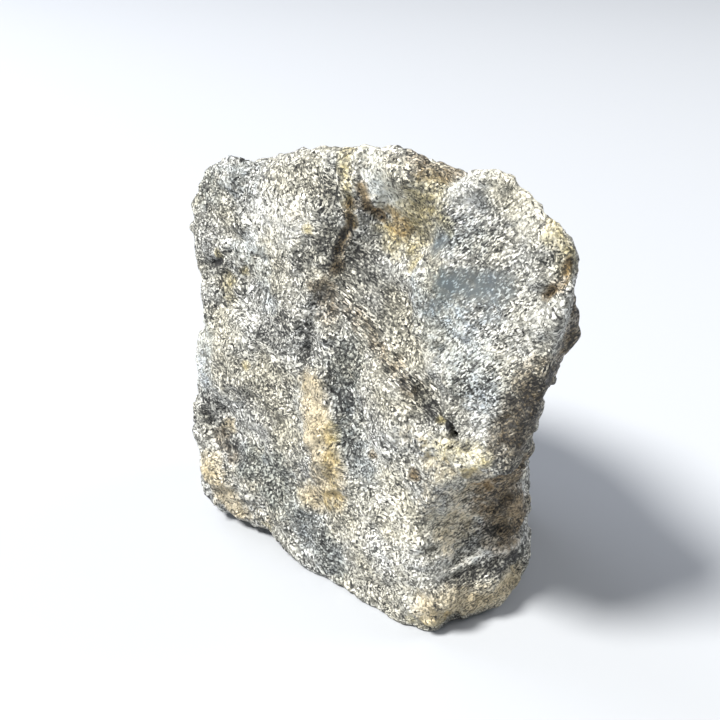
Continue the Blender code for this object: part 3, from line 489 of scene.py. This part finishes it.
@dataclass(frozen=True)
class BrokenFeldsparRock:
    """Coarse feldspar rock, broken and never polished.

    Cleavage flakes up to a millimetre long lie in a finer grey ground. Each has its own tilt and
    shine, so the eye sees thin white flecks side by side with grey and charcoal ones, and no even
    colour; the whitest flakes and grains are partly painted glints. Iron has stained the rock yellow
    and tan along its seams.

    Args:
        flake: A flake's size across and along, in millimetres.
        grain: The size of the grains of the ground between the flakes, in millimetres.
        flake_group: The size of a group of flakes that lie one way, in millimetres.
        clouds: The size in millimetres and the strength of each size of paler and darker cloud.
        layers: The direction across the rock's layers.
        fibres: The direction along its fibres.
        ground_tone: How pale the ground is, from 0 for charcoal to 1 for white.
        grain_swing: How much paler or darker one grain is than another.
        streak_swing: How much paler or darker a layer is than the next, where they show.
        mark_tones: How much paler or darker each mark makes the ground.
        worn_tone: How pale the worn slate face is.
        palest_ground: The palest that the ground gets.
        pale_and_glint_flakes: The draws between which a flake turns from grey to white, as pale feldspar and as a
            painted glint.
        dark_flakes: The draws between which a flake turns from grey to charcoal.
        glint_specks: The draws between which a grain turns white, as a painted glint.
        tones: The place and the colour of each tone, from charcoal to fresh cleavage.
        warmth: What a faint rust film multiplies the colours by.
        stains: What each mark multiplies the colours by, and how strongly.
        ior: Of feldspar.
        roughness: Of a fresh break between its flakes.
        flake_roughness: Of a flake's own cleavage.
        bump: How high the flakes and grains stand, in millimetres.
    """

    name: str = "feldspar_rock_broken"
    flake: tuple[float, float] = (0.3, 0.75)
    grain: float = 0.38
    flake_group: float = 2.6
    clouds: tuple[tuple[float, float], ...] = ((9.0, 0.55), (2.8, 0.6), (0.9, 0.6))
    layers: Point = (-0.71, 0.10, 0.68)
    fibres: Point = (0.886, 0.0, -0.463)
    ground_tone: float = 0.335
    grain_swing: float = 0.32
    streak_swing: float = 0.24
    mark_tones: tuple[tuple[Mark, float], ...] = (
        # the pale mark raises the ground, for pale rock and for painted highlight
        (Mark.PALE_AND_HIGHLIT, 0.17),
        (Mark.TAN, 0.2),
        (Mark.OCHRE, 0.12),
        # the dark mark lowers the ground, for charcoal rock and for painted shade
        (Mark.DARK, -0.23),
    )
    worn_tone: float = 0.33
    palest_ground: float = 0.76
    pale_and_glint_flakes: tuple[float, float] = (0.6, 0.95)
    dark_flakes: tuple[float, float] = (0.24, 0.06)
    glint_specks: tuple[float, float] = (0.84, 0.92)
    tones: tuple[tuple[float, str], ...] = (
        (0.0, "#242424"),
        (0.2, "#575855"),
        (0.4, "#888883"),
        (0.58, "#b0b0aa"),
        (0.76, "#dadad4"),
        # the whitest tone, reached by the white flakes and grains, stands partly for painted glints
        (0.95, "#fbfbf8"),
    )
    warmth: str = "#f9f4e6"
    stains: tuple[tuple[Mark, str, float], ...] = (
        (Mark.COOL, "#dde7f2", 0.9),
        (Mark.SLATE, "#bdccde", 0.8),
        # the brown stain also carries the painted shade of the right edge and the flank
        (Mark.BROWN, "#b5a184", 0.9),
        (Mark.TAN, "#efe1c7", 0.9),
        (Mark.OCHRE, "#e2d5a6", 0.85),
    )
    ior: float = 1.54
    roughness: float = 0.6
    flake_roughness: float = 0.32
    bump: float = 0.25

    def turned(self, tree: bpy.types.NodeTree, places: Any, axis: Point, scale: Point) -> Any:
        """Places turned so that an axis of the rock points along Z, then scaled.

        Args:
            tree: The material's tree.
            places: The socket that gives the places in millimetres.
            axis: The rock's axis.
            scale: Cells a millimetre along each turned direction.

        Returns:
            The socket of the turned places.
        """
        spin = Vector(axis).rotation_difference(Vector((0, 0, 1))).to_euler()
        turn = add_node(
            tree, "ShaderNodeVectorRotate", {"rotation_type": "EULER_XYZ"}, {"Vector": places, "Rotation": spin[:]}
        ).outputs[0]
        return add_node(tree, "ShaderNodeVectorMath", {"operation": "MULTIPLY"}, {0: turn, 1: scale}).outputs[0]

    def cells(self, tree: bpy.types.NodeTree, coordinates: Any) -> Cells:
        """A mosaic with one crystal a unit.

        Args:
            tree: The material's tree.
            coordinates: The socket of its coordinates.

        Returns:
            The mosaic.
        """
        crystals = add_node(tree, "ShaderNodeTexVoronoi", {}, {"Vector": coordinates, "Scale": 1.0})
        value = add_node(tree, "ShaderNodeSeparateColor", {}, {0: crystals.outputs["Color"]}).outputs[0]
        lean = add_node(
            tree, "ShaderNodeVectorMath", {"operation": "SUBTRACT"}, {0: crystals.outputs["Color"], 1: (0.5, 0.5, 0.5)}
        ).outputs[0]
        offset = add_node(
            tree, "ShaderNodeVectorMath", {"operation": "SUBTRACT"}, {0: coordinates, 1: crystals.outputs["Position"]}
        ).outputs[0]
        facet = add_node(tree, "ShaderNodeVectorMath", {"operation": "DOT_PRODUCT"}, {0: lean, 1: offset})
        return Cells(value, facet.outputs["Value"])

    def flakes(self, tree: bpy.types.NodeTree, places: Any, marks: dict[Mark, Any]) -> Cells:
        """The flakes: in groups that lie every way, or along the layers or the fibres where those show.

        Args:
            tree: The material's tree.
            places: The socket that gives the places in millimetres.
            marks: The socket of each mark.

        Returns:
            The flakes.
        """
        across, along = (1 / side for side in self.flake)
        group = add_node(tree, "ShaderNodeTexVoronoi", {}, {"Vector": places, "Scale": 1 / self.flake_group})
        spin = add_node(
            tree, "ShaderNodeVectorMath", {"operation": "SCALE"}, {0: group.outputs["Color"], "Scale": math.tau}
        ).outputs[0]
        lying = add_node(
            tree, "ShaderNodeVectorRotate", {"rotation_type": "EULER_XYZ"}, {"Vector": places, "Rotation": spin}
        ).outputs[0]
        draw = add_node(tree, "ShaderNodeSeparateColor", {}, {0: group.outputs["Color"]}).outputs[1]
        size = add_node(tree, "ShaderNodeMapRange", {}, {"Value": draw, "To Min": 0.6, "To Max": 1.5}).outputs[0]
        sized = add_node(tree, "ShaderNodeVectorMath", {"operation": "SCALE"}, {0: lying, "Scale": size}).outputs[0]
        loose = add_node(
            tree, "ShaderNodeVectorMath", {"operation": "MULTIPLY"}, {0: sized, 1: (along, across * 0.8, across)}
        ).outputs[0]
        layered = self.turned(tree, places, self.layers, (along * 1.5, along * 1.2, across * 1.4))
        fibrous = self.turned(tree, places, self.fibres, (across * 1.3, across * 1.3, along * 0.45))
        mosaics = [self.cells(tree, coordinates) for coordinates in (loose, layered, fibrous)]
        value, facet = mosaics[0].value, mosaics[0].facet
        for mark, mosaic in zip((Mark.FOLIATED, Mark.FIBROUS), mosaics[1:]):
            value = add_node(
                tree, "ShaderNodeMix", {"data_type": "FLOAT"}, {0: marks[mark], 2: value, 3: mosaic.value}
            ).outputs[0]
            facet = add_node(
                tree, "ShaderNodeMix", {"data_type": "FLOAT"}, {0: marks[mark], 2: facet, 3: mosaic.facet}
            ).outputs[0]
        return Cells(value, facet)

    def ragged_marks(self, tree: bpy.types.NodeTree, places: Any) -> dict[Mark, Any]:
        """Each mark's amount over the surface, with its edges broken up by the grain.

        Args:
            tree: The material's tree.
            places: The socket that gives the places in millimetres.

        Returns:
            The socket of each mark.
        """
        torn = add_node(
            tree, "ShaderNodeTexNoise", {}, {"Vector": places, "Scale": 1 / 2.2, "Detail": 4.0, "Roughness": 0.7}
        ).outputs["Fac"]
        ragged = add_node(
            tree, "ShaderNodeMath", {"operation": "MULTIPLY_ADD"}, {0: torn, 1: 2.2, 2: -1.1}
        ).outputs[0]
        found = {}
        for mark in Mark:
            amount = add_node(tree, "ShaderNodeAttribute", {"attribute_name": mark.value}).outputs["Fac"]
            gate = add_node(
                tree, "ShaderNodeMath", {"operation": "MULTIPLY", "use_clamp": True}, {0: amount, 1: 2.0}
            ).outputs[0]
            broken = add_node(
                tree, "ShaderNodeMath", {"operation": "MULTIPLY_ADD"}, {0: ragged, 1: gate, 2: amount}
            ).outputs[0]
            edge = add_node(
                tree, "ShaderNodeMapRange", {}, {"Value": broken, "From Min": 0.22, "From Max": 0.42}
            ).outputs[0]
            capped = add_node(tree, "ShaderNodeMath", {"operation": "MINIMUM"}, {0: broken, 1: 2.0}).outputs[0]
            found[mark] = add_node(tree, "ShaderNodeMath", {"operation": "MULTIPLY"}, {0: capped, 1: edge}).outputs[0]
        return found

    def ground(self, tree: bpy.types.NodeTree, places: Any, grains: Cells, marks: dict[Mark, Any]) -> Any:
        """How pale the ground between the flakes is, from 0 for charcoal to 1 for white.

        Args:
            tree: The material's tree.
            places: The socket that gives the places in millimetres.
            grains: The ground's grains.
            marks: The socket of each mark.

        Returns:
            The socket of the tone.
        """
        streaks = self.turned(tree, places, self.layers, (0.22, 0.22, 3.2))
        streak = add_node(
            tree, "ShaderNodeTexNoise", {}, {"Vector": streaks, "Scale": 1.0, "Detail": 2.0}
        ).outputs["Fac"]
        shown = add_node(
            tree,
            "ShaderNodeMapRange",
            {},
            {
                "Value": streak,
                "From Min": 0.2,
                "From Max": 0.8,
                "To Min": -self.streak_swing,
                "To Max": self.streak_swing,
            },
        ).outputs[0]
        level = add_node(
            tree,
            "ShaderNodeMath",
            {"operation": "MULTIPLY_ADD"},
            {0: shown, 1: marks[Mark.FOLIATED], 2: self.ground_tone},
        ).outputs[0]
        swings = [(grains.value, self.grain_swing)]
        for size, weight in self.clouds:
            cloud = add_node(
                tree, "ShaderNodeTexNoise", {}, {"Vector": places, "Scale": 1 / size, "Detail": 3.0, "Roughness": 0.65}
            ).outputs["Fac"]
            swings.append((cloud, weight))
        for swing, weight in swings:
            lowered = add_node(tree, "ShaderNodeMath", {"operation": "SUBTRACT"}, {0: swing, 1: 0.5}).outputs[0]
            level = add_node(
                tree, "ShaderNodeMath", {"operation": "MULTIPLY_ADD"}, {0: lowered, 1: weight, 2: level}
            ).outputs[0]
        for mark, weight in self.mark_tones:
            level = add_node(
                tree, "ShaderNodeMath", {"operation": "MULTIPLY_ADD"}, {0: marks[mark], 1: weight, 2: level}
            ).outputs[0]
        worn = add_node(
            tree, "ShaderNodeMath", {"operation": "MULTIPLY", "use_clamp": True}, {0: marks[Mark.SLATE], 1: 0.8}
        ).outputs[0]
        level = add_node(
            tree, "ShaderNodeMix", {"data_type": "FLOAT"}, {0: worn, 2: level, 3: self.worn_tone}
        ).outputs[0]
        return add_node(
            tree, "ShaderNodeMath", {"operation": "MINIMUM"}, {0: level, 1: self.palest_ground}
        ).outputs[0]

    def tone(self, tree: bpy.types.NodeTree, ground: Any, flakes: Cells, grains: Cells, marks: dict[Mark, Any]) -> Any:
        """How pale the rock is, from 0 for charcoal to 1 for white.

        Args:
            tree: The material's tree.
            ground: The tone of the ground between the flakes.
            flakes: The flakes.
            grains: The ground's grains.
            marks: The socket of each mark.

        Returns:
            The socket of the tone.
        """
        fewer = add_node(
            tree, "ShaderNodeMath", {"operation": "MULTIPLY_ADD"}, {0: marks[Mark.SLATE], 1: -0.1, 2: flakes.value}
        ).outputs[0]
        # more white flakes where the pale mark is, for fresh cleavage and for painted highlight
        fresh = add_node(
            tree, "ShaderNodeMath", {"operation": "MULTIPLY_ADD"}, {0: marks[Mark.PALE_AND_HIGHLIT], 1: 0.13, 2: fewer}
        ).outputs[0]
        # painted glints: the whitest flakes are partly glints of their cleavage
        grey, white = self.pale_and_glint_flakes
        pale = add_node(
            tree, "ShaderNodeMapRange", {}, {"Value": fresh, "From Min": grey, "From Max": white, "To Max": 0.95}
        ).outputs[0]
        # painted glints: the palest grains turn white
        plain, bright = self.glint_specks
        speck = add_node(
            tree,
            "ShaderNodeMapRange",
            {},
            {"Value": grains.value, "From Min": plain, "From Max": bright, "To Max": 0.6},
        ).outputs[0]
        unworn = add_node(
            tree,
            "ShaderNodeMath",
            {"operation": "MULTIPLY_ADD", "use_clamp": True},
            {0: marks[Mark.SLATE], 1: -1.0, 2: 1.0},
        ).outputs[0]
        speck = add_node(tree, "ShaderNodeMath", {"operation": "MULTIPLY"}, {0: speck, 1: unworn}).outputs[0]
        pale = add_node(tree, "ShaderNodeMath", {"operation": "MAXIMUM"}, {0: pale, 1: speck}).outputs[0]
        # the dark mark, charcoal rock and painted shade, also dims the white flakes
        lit = add_node(
            tree,
            "ShaderNodeMath",
            {"operation": "MULTIPLY_ADD", "use_clamp": True},
            {0: marks[Mark.DARK], 1: -0.36, 2: 1.0},
        ).outputs[0]
        pale = add_node(tree, "ShaderNodeMath", {"operation": "MULTIPLY"}, {0: pale, 1: lit}).outputs[0]
        faint, charcoal = self.dark_flakes
        dark = add_node(
            tree,
            "ShaderNodeMapRange",
            {},
            {"Value": flakes.value, "From Min": faint, "From Max": charcoal, "To Max": -0.34},
        ).outputs[0]
        level = add_node(
            tree, "ShaderNodeMath", {"operation": "MULTIPLY_ADD"}, {0: dark, 1: unworn, 2: ground}
        ).outputs[0]
        return add_node(tree, "ShaderNodeMix", {"data_type": "FLOAT"}, {0: pale, 2: level, 3: 0.98}).outputs[0]

    def colour(self, tree: bpy.types.NodeTree, places: Any, tone: Any, marks: dict[Mark, Any]) -> Any:
        """The rock's colour: its tone, a faint rust film here and there, and its stains.

        Args:
            tree: The material's tree.
            places: The socket that gives the places in millimetres.
            tone: The socket of the tone.
            marks: The socket of each mark.

        Returns:
            The socket of the colour.
        """
        ramp = add_node(tree, "ShaderNodeValToRGB", {}, {0: tone})
        set_stops(ramp.color_ramp, self.tones)
        film = add_node(
            tree, "ShaderNodeTexNoise", {}, {"Vector": places, "Scale": 1 / 12, "Detail": 3.0}
        ).outputs["Fac"]
        filmed = add_node(
            tree, "ShaderNodeMapRange", {}, {"Value": film, "From Min": 0.38, "From Max": 0.62}
        ).outputs[0]
        shares = [(filmed, self.warmth)]
        for mark, stain, strength in self.stains:
            share = add_node(
                tree, "ShaderNodeMath", {"operation": "MULTIPLY", "use_clamp": True}, {0: marks[mark], 1: strength}
            ).outputs[0]
            shares.append((share, stain))
        colour = ramp.outputs["Color"]
        for share, stain in shares:
            colour = add_node(
                tree,
                "ShaderNodeMix",
                {"data_type": "RGBA", "blend_type": "MULTIPLY"},
                {0: share, 6: colour, 7: linear(stain)},
            ).outputs[2]
        return colour

    def lift(self, tree: bpy.types.NodeTree, flakes: Cells, grains: Cells, marks: dict[Mark, Any]) -> Any:
        """How high the flakes and grains stand: each is a small tilted face, and the slate face is nearly smooth.

        Args:
            tree: The material's tree.
            flakes: The flakes.
            grains: The ground's grains.
            marks: The socket of each mark.

        Returns:
            The socket of the height, 1 for the whole bump.
        """
        level = add_node(tree, "ShaderNodeMath", {"operation": "MULTIPLY"}, {0: flakes.value, 1: 0.35}).outputs[0]
        for facet, weight in ((flakes.facet, 1.2), (grains.facet, 0.7)):
            level = add_node(
                tree, "ShaderNodeMath", {"operation": "MULTIPLY_ADD"}, {0: facet, 1: weight, 2: level}
            ).outputs[0]
        unworn = add_node(
            tree,
            "ShaderNodeMath",
            {"operation": "MULTIPLY_ADD", "use_clamp": True},
            {0: marks[Mark.SLATE], 1: -0.8, 2: 1.0},
        ).outputs[0]
        return add_node(tree, "ShaderNodeMath", {"operation": "MULTIPLY"}, {0: level, 1: unworn}).outputs[0]

    def make(self) -> bpy.types.Material:
        """Makes the material.

        Returns:
            The material.
        """
        material = bpy.data.materials.new(self.name)
        material.use_nodes = True
        tree = material.node_tree
        shader = tree.nodes["Principled BSDF"]
        origin = add_node(tree, "ShaderNodeTexCoord").outputs["Object"]
        places = add_node(tree, "ShaderNodeVectorMath", {"operation": "SCALE"}, {0: origin, "Scale": 1 / MM}).outputs[0]
        drift = add_node(
            tree, "ShaderNodeTexNoise", {}, {"Vector": places, "Scale": 1.4, "Detail": 2.0}
        ).outputs["Color"]
        wander = add_node(tree, "ShaderNodeVectorMath", {"operation": "SCALE"}, {0: drift, "Scale": 0.35}).outputs[0]
        bent = add_node(tree, "ShaderNodeVectorMath", {"operation": "ADD"}, {0: places, 1: wander}).outputs[0]
        fine = add_node(
            tree, "ShaderNodeVectorMath", {"operation": "SCALE"}, {0: bent, "Scale": 1 / self.grain}
        ).outputs[0]
        marks = self.ragged_marks(tree, places)
        flakes = self.flakes(tree, bent, marks)
        grains = self.cells(tree, fine)
        tone = self.tone(tree, self.ground(tree, places, grains, marks), flakes, grains, marks)
        tree.links.new(self.colour(tree, places, tone, marks), shader.inputs["Base Color"])
        shiny = add_node(tree, "ShaderNodeMath", {"operation": "GREATER_THAN"}, {0: flakes.value, 1: 0.7}).outputs[0]
        gloss = add_node(
            tree, "ShaderNodeMix", {"data_type": "FLOAT"}, {0: shiny, 2: self.roughness, 3: self.flake_roughness}
        ).outputs[0]
        tree.links.new(gloss, shader.inputs["Roughness"])
        shader.inputs["IOR"].default_value = self.ior
        bump = add_node(
            tree,
            "ShaderNodeBump",
            {},
            {"Strength": 1.0, "Distance": self.bump * MM, "Height": self.lift(tree, flakes, grains, marks)},
        )
        tree.links.new(bump.outputs["Normal"], shader.inputs["Normal"])
        return material


@dataclass
class Stone:
    """The stone itself, over the solid that it stands for.

    Args:
        name: The piece's name.
        node: The solid that it replaces.
        grid: The spacing of its fine mesh.
        smooth_passes: How often the solid's flat triangles are evened out.
        narrow: The reach under which a patch keeps to the surface between its path's corners.
        crack_depth: A crack's mean depth as a share, and the length over which it gets deeper and shallower.
        worn: How much of the relief the slate face has lost.
        relief: How it broke.
        rock: What it is made of.
    """

    name: str = "labradorite"
    node: str = "stone"
    grid: float = 0.6
    smooth_passes: int = 5
    narrow: float = 4.0
    crack_depth: tuple[float, float] = (0.75, 3.5)
    worn: float = 0.85
    relief: Relief = field(default_factory=Relief)
    rock: BrokenFeldsparRock = field(default_factory=BrokenFeldsparRock)

    def build(self) -> bpy.types.Object:
        """Makes the fine mesh, breaks its surface and dresses it.

        Returns:
            The piece.
        """
        piece = self.fine_copy()
        self.paint(piece.data)
        self.break_surface(piece.data)
        piece.data.materials.clear()
        piece.data.materials.append(self.rock.make())
        piece.data.shade_smooth()
        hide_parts(self.node)
        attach(piece, "root")
        LOG.info("%s: %d faces", piece.name, len(piece.data.polygons))
        return piece

    def fine_copy(self) -> bpy.types.Object:
        """A copy of the solid with an even mesh, fine enough for the relief.

        Returns:
            The copy.
        """
        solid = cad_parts[self.node]
        copy = bpy.data.objects.new(self.name, solid.data.copy())
        bpy.context.scene.collection.objects.link(copy)
        remesh = copy.modifiers.new("even mesh", "REMESH")
        remesh.mode = "VOXEL"
        remesh.voxel_size = self.grid * MM
        smooth = copy.modifiers.new("evened facets", "SMOOTH")
        smooth.factor = 0.5
        smooth.iterations = self.smooth_passes
        graph = bpy.context.evaluated_depsgraph_get()
        mesh = bpy.data.meshes.new_from_object(copy.evaluated_get(graph))
        copy.modifiers.clear()
        copy.data = mesh
        return copy

    def places(self, mesh: bpy.types.Mesh) -> np.ndarray:
        """The places of a mesh's points, one a row."""
        flat = np.empty(len(mesh.vertices) * 3)
        mesh.vertices.foreach_get("co", flat)
        return flat.reshape(-1, 3) / MM

    def surface(self, places: np.ndarray) -> kdtree.KDTree:
        """The places as a tree, to find the nearest of them quickly."""
        tree = kdtree.KDTree(len(places))
        for number, place in enumerate(places):
            tree.insert(place, number)
        tree.balance()
        return tree

    def amounts(self, mesh: bpy.types.Mesh, mark: Mark) -> np.ndarray:
        """How much of a mark is at each of a mesh's points."""
        found = np.empty(len(mesh.vertices), np.float32)
        mesh.attributes[mark.value].data.foreach_get("value", found)
        return found

    def paint(self, mesh: bpy.types.Mesh) -> None:
        """Lays every patch on the mesh as vertex attributes.

        Args:
            mesh: The fine mesh.
        """
        places = self.places(mesh)
        surface = self.surface(places)
        for mark in Mark:
            amount = np.zeros(len(places))
            for patch in (patch for patch in PATCHES if patch.mark is mark):
                path = laid(surface, patch.path) if patch.reach < self.narrow else patch.path
                layer = patch.amount * dome(nearest_on_path(places, path) / patch.reach)
                amount = np.maximum(amount, layer)
            attribute = mesh.attributes.new(mark.value, "FLOAT", "POINT")
            attribute.data.foreach_set("value", amount.astype(np.float32))

    def evened(self, mesh: bpy.types.Mesh, heights: np.ndarray) -> np.ndarray:
        """Heights drawn halfway to their neighbours' mean, so that no single point stands out as a thorn.

        Args:
            mesh: The fine mesh.
            heights: A height for each of its points.

        Returns:
            The evened heights.
        """
        edges = np.empty(len(mesh.edges) * 2, np.int32)
        mesh.edges.foreach_get("vertices", edges)
        one, other = edges.reshape(-1, 2).T
        count = np.bincount(one, minlength=len(heights)) + np.bincount(other, minlength=len(heights))
        total = np.bincount(one, heights[other], len(heights)) + np.bincount(other, heights[one], len(heights))
        return (heights + total / count) / 2

    def break_surface(self, mesh: bpy.types.Mesh) -> None:
        """Moves the mesh's points along their normals by the relief and the cracks, and keeps the foot flat.

        Args:
            mesh: The fine mesh.

        Raises:
            ValueError: A point came out with no place, so the stone wouldn't be drawn.
        """
        places = self.places(mesh)
        normals = np.empty(len(places) * 3)
        mesh.vertex_normals.foreach_get("vector", normals)
        normals = normals.reshape(-1, 3)
        foliated = self.amounts(mesh, Mark.FOLIATED)
        lumpy = self.amounts(mesh, Mark.LUMPY)
        heights = np.array(
            [
                self.relief.height(Vector(place), min(float(layered), 1.0), float(coarse))
                for place, layered, coarse in zip(places, foliated, lumpy)
            ]
        )
        surface = self.surface(places)
        mean, length = self.crack_depth
        for crack in CRACKS:
            groove = dome(nearest_on_path(places, laid(surface, crack.path)) / crack.wide)
            uneven = [
                mean + noise.noise(Vector(place) / length) if near else 0.0 for place, near in zip(places, groove)
            ]
            heights -= crack.deep * groove * np.array(uneven)
        heights *= 1 - self.worn * np.clip(self.amounts(mesh, Mark.SLATE), 0, 1)
        heights = self.evened(mesh, heights) * np.clip(places[:, 2] / self.relief.foot_fade, 0, 1)
        moved = places + normals * heights[:, None]
        moved[:, 2] = np.maximum(moved[:, 2], 0)
        if not np.isfinite(moved).all():
            raise ValueError("a point of the stone has no place")
        mesh.vertices.foreach_set("co", (moved * MM).ravel())
        mesh.update()


@dataclass(frozen=True)
class PaintedStudioFloor:
    """A floor of matt paint on smooth board: pale, with no shine, so it reads as plain studio ground.

    Args:
        colour: The paint's colour.
        roughness: Of matt wall paint.
        roller_mm: The size of the paint roller's faint texture.
    """

    name: str = "matt_studio_paint"
    colour: str = "#b4b7bc"
    roughness: float = 0.8
    roller_mm: float = 3.0

    def make(self) -> bpy.types.Material:
        """Makes the material.

        Returns:
            The material.
        """
        material = bpy.data.materials.new(self.name)
        material.use_nodes = True
        tree = material.node_tree
        shader = tree.nodes["Principled BSDF"]
        shader.inputs["Base Color"].default_value = linear(self.colour)
        shader.inputs["Roughness"].default_value = self.roughness
        origin = add_node(tree, "ShaderNodeTexCoord").outputs["Object"]
        roller = add_node(
            tree, "ShaderNodeTexNoise", {}, {"Vector": origin, "Scale": 1 / (self.roller_mm * MM), "Detail": 2.0}
        )
        bump = add_node(
            tree, "ShaderNodeBump", {}, {"Strength": 0.15, "Distance": 0.1 * MM, "Height": roller.outputs["Fac"]}
        )
        tree.links.new(bump.outputs["Normal"], shader.inputs["Normal"])
        return material


@dataclass(frozen=True)
class Lamp:
    """A round soft light that shines at the stone's middle.

    Args:
        name: Its name.
        at: Where it hangs, in metres.
        width: Its width, in metres.
        watts: Its power.
        colour: Its colour.
    """

    name: str
    at: Point
    width: float
    watts: float
    colour: str


@dataclass
class Studio:
    """The floor, the lights and the camera.

    Args:
        floor_side: The floor's side in metres.
        camera_at: Where the camera stands, in metres.
        azimuth: How far the camera stands round to the right of the broad face, in degrees.
        pitch: How far it looks down, in degrees.
        view_angle: The width of its view, in degrees.
        lamps: The lights.
        aim: Where the lights shine, in metres.
        room_colour: The colour of the room's own light.
        room_strength: How strong that is.
        paint: The floor's finish.
    """

    floor_side: float = 4.0
    camera_at: Point = (0.10072, -0.16014, 0.145)
    azimuth: float = 35.0
    pitch: float = 28.0
    view_angle: float = 40.0
    lamps: tuple[Lamp, ...] = (
        Lamp("key light", (-0.66, -1.02, 1.86), 0.60, 92.0, "#fffdf8"),
        Lamp("fill light", (-1.40, 0.20, 0.90), 1.20, 12.0, "#eef3ff"),
        Lamp("rim light", (0.90, 0.90, 1.00), 0.80, 8.0, "#ffffff"),
    )
    aim: Point = (0.0, 0.0, 0.05)
    room_colour: str = "#e6ebf2"
    room_strength: float = 0.35
    paint: PaintedStudioFloor = field(default_factory=PaintedStudioFloor)

    def build(self) -> None:
        """Builds the studio round the stone."""
        self.lay_floor()
        for lamp in self.lamps:
            self.hang_light(lamp)
        self.fill_room()
        self.place_camera()

    def lay_floor(self) -> None:
        """Lays the floor."""
        bpy.ops.mesh.primitive_grid_add(x_subdivisions=4, y_subdivisions=4, size=self.floor_side)
        floor = bpy.context.object
        floor.name = "studio_floor"
        floor.data.materials.append(self.paint.make())

    def hang_light(self, lamp: Lamp) -> None:
        """Hangs a light.

        Args:
            lamp: The light.
        """
        light = bpy.data.lights.new(lamp.name, "AREA")
        light.shape = "DISK"
        light.size = lamp.width
        light.energy = lamp.watts
        light.color = linear(lamp.colour)[:3]
        holder = bpy.data.objects.new(lamp.name, light)
        bpy.context.scene.collection.objects.link(holder)
        holder.location = lamp.at
        beam = Vector(self.aim) - Vector(lamp.at)
        holder.rotation_euler = beam.to_track_quat("-Z", "Y").to_euler()

    def fill_room(self) -> None:
        """Gives the room its even, faint light."""
        world = bpy.data.worlds.new("studio")
        bpy.context.scene.world = world
        world.use_nodes = True
        background = world.node_tree.nodes["Background"]
        background.inputs["Color"].default_value = linear(self.room_colour)
        background.inputs["Strength"].default_value = self.room_strength

    def place_camera(self) -> None:
        """Places the camera where the photograph was taken from."""
        camera = bpy.data.cameras.new("camera")
        camera.sensor_fit = "HORIZONTAL"
        camera.angle = math.radians(self.view_angle)
        camera.clip_start = 0.01
        holder = bpy.data.objects.new("camera", camera)
        bpy.context.scene.collection.objects.link(holder)
        holder.location = self.camera_at
        holder.rotation_euler = (math.radians(90 - self.pitch), 0, math.radians(self.azimuth))
        bpy.context.scene.camera = holder


def main() -> None:
    """Builds the stone and the studio in order."""
    logging.basicConfig(level=logging.INFO, format="%(name)s: %(message)s")
    bpy.context.scene.view_settings.view_transform = "Standard"
    noise.seed_set(NOISE_SEED)
    Stone().build()
    Studio().build()


if __name__ == "__main__":
    main()
